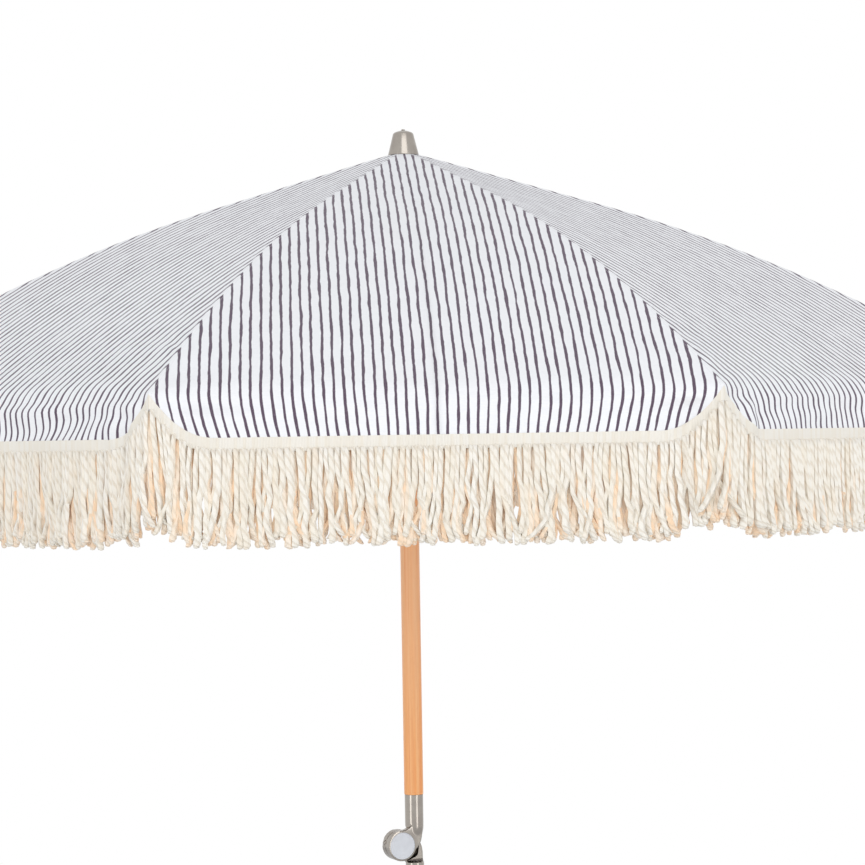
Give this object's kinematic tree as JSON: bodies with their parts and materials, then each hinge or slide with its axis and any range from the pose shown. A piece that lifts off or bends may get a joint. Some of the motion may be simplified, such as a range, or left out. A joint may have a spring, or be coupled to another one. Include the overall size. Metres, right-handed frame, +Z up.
{
  "type": "beach umbrella",
  "caption": "Tilting beach umbrella with a two-part wooden pole, folding ribs and a striped, scalloped fabric canopy edged with a cord fringe.",
  "frame": {"origin": "middle of the sand tip's blunt lower end, on the pole's axis", "axes": "+Z up the pole, canopy open and not tilted; the knuckle tilts the canopy towards -X; ribs at every 45 degrees from +X"},
  "size_m": [2, 2, 2.1948],
  "materials": {
    "beech": "clear satin lacquer",
    "satin_nickel": "satin",
    "steel": "bright",
    "striped_canvas": "woven, with dark plum stripes",
    "cotton_fringe": "twisted cotton",
    "glass_fibre": "smooth",
    "pale_plastic": "satin",
    "cream_plastic": "moulded satin"
  },
  "bodies": {
    "lower": {"lower_pole": "beech", "sand_tip": "satin_nickel", "tip_screw": "steel", "lower_knuckle": "satin_nickel", "lower_screw": "steel", "tilt_bolt": "steel", "tilt_nut": "steel"},
    "upper": {"upper_knuckle": "satin_nickel", "upper_screw": "steel", "upper_pole": "beech", "crown": "cream_plastic", "crown_screw": "steel", "finial": "satin_nickel", "finial_screw": "satin_nickel", "catch_pin": "steel", "button_spring": "steel"},
    "runner": {"runner": "cream_plastic"},
    "catch": {"runner_catch": "steel"},
    "button": {"tilt_button": "pale_plastic"},
    "rib_arm_1": {"rib_1": "glass_fibre", "rib_clip_1": "cream_plastic", "canopy_gore_1": "striped_canvas", "fringe_1": "cotton_fringe"},
    "stretcher_arm_1": {"stretcher_1": "satin_nickel"},
    "rib_arm_2": {"rib_2": "glass_fibre", "rib_clip_2": "cream_plastic", "canopy_gore_2": "striped_canvas", "fringe_2": "cotton_fringe"},
    "stretcher_arm_2": {"stretcher_2": "satin_nickel"},
    "rib_arm_3": {"rib_3": "glass_fibre", "rib_clip_3": "cream_plastic", "canopy_gore_3": "striped_canvas", "fringe_3": "cotton_fringe"},
    "stretcher_arm_3": {"stretcher_3": "satin_nickel"},
    "rib_arm_4": {"rib_4": "glass_fibre", "rib_clip_4": "cream_plastic", "canopy_gore_4": "striped_canvas", "fringe_4": "cotton_fringe"},
    "stretcher_arm_4": {"stretcher_4": "satin_nickel"},
    "rib_arm_5": {"rib_5": "glass_fibre", "rib_clip_5": "cream_plastic", "canopy_gore_5": "striped_canvas", "fringe_5": "cotton_fringe"},
    "stretcher_arm_5": {"stretcher_5": "satin_nickel"},
    "rib_arm_6": {"rib_6": "glass_fibre", "rib_clip_6": "cream_plastic", "canopy_gore_6": "striped_canvas", "fringe_6": "cotton_fringe"},
    "stretcher_arm_6": {"stretcher_6": "satin_nickel"},
    "rib_arm_7": {"rib_7": "glass_fibre", "rib_clip_7": "cream_plastic", "canopy_gore_7": "striped_canvas", "fringe_7": "cotton_fringe"},
    "stretcher_arm_7": {"stretcher_7": "satin_nickel"},
    "rib_arm_8": {"rib_8": "glass_fibre", "rib_clip_8": "cream_plastic", "canopy_gore_8": "striped_canvas", "fringe_8": "cotton_fringe"},
    "stretcher_arm_8": {"stretcher_8": "satin_nickel"}
  },
  "joints": [
    {"name": "pole_tilt", "type": "hinge", "parent": "lower", "child": "upper", "pos_m": [-0.028, 0, 1], "axis": [0, -1, 0], "range_deg": [0, 40]},
    {"name": "button_press", "type": "slide", "parent": "upper", "child": "button", "axis": [0, 1, 0], "range_m": [0, 0.0025], "stiffness_N_per_m": 1500, "springref_m": -0.001, "deforming": ["button_spring"]},
    {"name": "catch_press", "type": "hinge", "parent": "upper", "child": "catch", "pos_m": [0.011, 0, 1.75471], "axis": [0, -1, 0], "range_deg": [0, 10], "stiffness_Nm_per_rad": 1, "springref_deg": -5.73},
    {"name": "runner_slide", "type": "slide", "parent": "upper", "child": "runner", "axis": [0, 0, -1], "range_m": [0, 0.59503], "deforming": ["canopy_gore_1", "canopy_gore_2", "canopy_gore_3", "canopy_gore_4", "canopy_gore_5", "canopy_gore_6", "canopy_gore_7", "canopy_gore_8", "fringe_1", "fringe_2", "fringe_3", "fringe_4", "fringe_5", "fringe_6", "fringe_7", "fringe_8", "runner_catch"]},
    {"name": "rib_1_fold", "type": "hinge", "parent": "upper", "child": "rib_arm_1", "pos_m": [0.0333, 0, 2.131], "axis": [0, 1, 0], "range_deg": [0, 61.71]},
    {"name": "stretcher_1_fold", "type": "hinge", "parent": "rib_arm_1", "child": "stretcher_arm_1", "pos_m": [0.45139, 0, 1.99676], "axis": [0, 1, 0], "range_deg": [-123.42, 0]},
    {"name": "rib_2_fold", "type": "hinge", "parent": "upper", "child": "rib_arm_2", "pos_m": [0.02355, 0.02355, 2.131], "axis": [-0.7071, 0.7071, 0], "range_deg": [0, 61.71]},
    {"name": "stretcher_2_fold", "type": "hinge", "parent": "rib_arm_2", "child": "stretcher_arm_2", "pos_m": [0.31918, 0.31918, 1.99676], "axis": [-0.7071, 0.7071, 0], "range_deg": [-123.42, 0]},
    {"name": "rib_3_fold", "type": "hinge", "parent": "upper", "child": "rib_arm_3", "pos_m": [0, 0.0333, 2.131], "axis": [-1, 0, 0], "range_deg": [0, 61.71]},
    {"name": "stretcher_3_fold", "type": "hinge", "parent": "rib_arm_3", "child": "stretcher_arm_3", "pos_m": [0, 0.45139, 1.99676], "axis": [-1, 0, 0], "range_deg": [-123.42, 0]},
    {"name": "rib_4_fold", "type": "hinge", "parent": "upper", "child": "rib_arm_4", "pos_m": [-0.02355, 0.02355, 2.131], "axis": [-0.7071, -0.7071, 0], "range_deg": [0, 61.71]},
    {"name": "stretcher_4_fold", "type": "hinge", "parent": "rib_arm_4", "child": "stretcher_arm_4", "pos_m": [-0.31918, 0.31918, 1.99676], "axis": [-0.7071, -0.7071, 0], "range_deg": [-123.42, 0]},
    {"name": "rib_5_fold", "type": "hinge", "parent": "upper", "child": "rib_arm_5", "pos_m": [-0.0333, 0, 2.131], "axis": [0, -1, 0], "range_deg": [0, 61.71]},
    {"name": "stretcher_5_fold", "type": "hinge", "parent": "rib_arm_5", "child": "stretcher_arm_5", "pos_m": [-0.45139, 0, 1.99676], "axis": [0, -1, 0], "range_deg": [-123.42, 0]},
    {"name": "rib_6_fold", "type": "hinge", "parent": "upper", "child": "rib_arm_6", "pos_m": [-0.02355, -0.02355, 2.131], "axis": [0.7071, -0.7071, 0], "range_deg": [0, 61.71]},
    {"name": "stretcher_6_fold", "type": "hinge", "parent": "rib_arm_6", "child": "stretcher_arm_6", "pos_m": [-0.31918, -0.31918, 1.99676], "axis": [0.7071, -0.7071, 0], "range_deg": [-123.42, 0]},
    {"name": "rib_7_fold", "type": "hinge", "parent": "upper", "child": "rib_arm_7", "pos_m": [0, -0.0333, 2.131], "axis": [1, 0, 0], "range_deg": [0, 61.71]},
    {"name": "stretcher_7_fold", "type": "hinge", "parent": "rib_arm_7", "child": "stretcher_arm_7", "pos_m": [0, -0.45139, 1.99676], "axis": [1, 0, 0], "range_deg": [-123.42, 0]},
    {"name": "rib_8_fold", "type": "hinge", "parent": "upper", "child": "rib_arm_8", "pos_m": [0.02355, -0.02355, 2.131], "axis": [0.7071, 0.7071, 0], "range_deg": [0, 61.71]},
    {"name": "stretcher_8_fold", "type": "hinge", "parent": "rib_arm_8", "child": "stretcher_arm_8", "pos_m": [0.31918, -0.31918, 1.99676], "axis": [0.7071, 0.7071, 0], "range_deg": [-123.42, 0]}
  ],
  "couplings": [
    {"joint": "rib_1_fold", "follows": "runner_slide", "rad_per_m": 1.8097},
    {"joint": "stretcher_1_fold", "follows": "runner_slide", "rad_per_m": -3.6195},
    {"joint": "rib_2_fold", "follows": "runner_slide", "rad_per_m": 1.8097},
    {"joint": "stretcher_2_fold", "follows": "runner_slide", "rad_per_m": -3.6195},
    {"joint": "rib_3_fold", "follows": "runner_slide", "rad_per_m": 1.8097},
    {"joint": "stretcher_3_fold", "follows": "runner_slide", "rad_per_m": -3.6195},
    {"joint": "rib_4_fold", "follows": "runner_slide", "rad_per_m": 1.8097},
    {"joint": "stretcher_4_fold", "follows": "runner_slide", "rad_per_m": -3.6195},
    {"joint": "rib_5_fold", "follows": "runner_slide", "rad_per_m": 1.8097},
    {"joint": "stretcher_5_fold", "follows": "runner_slide", "rad_per_m": -3.6195},
    {"joint": "rib_6_fold", "follows": "runner_slide", "rad_per_m": 1.8097},
    {"joint": "stretcher_6_fold", "follows": "runner_slide", "rad_per_m": -3.6195},
    {"joint": "rib_7_fold", "follows": "runner_slide", "rad_per_m": 1.8097},
    {"joint": "stretcher_7_fold", "follows": "runner_slide", "rad_per_m": -3.6195},
    {"joint": "rib_8_fold", "follows": "runner_slide", "rad_per_m": 1.8097},
    {"joint": "stretcher_8_fold", "follows": "runner_slide", "rad_per_m": -3.6195}
  ]
}
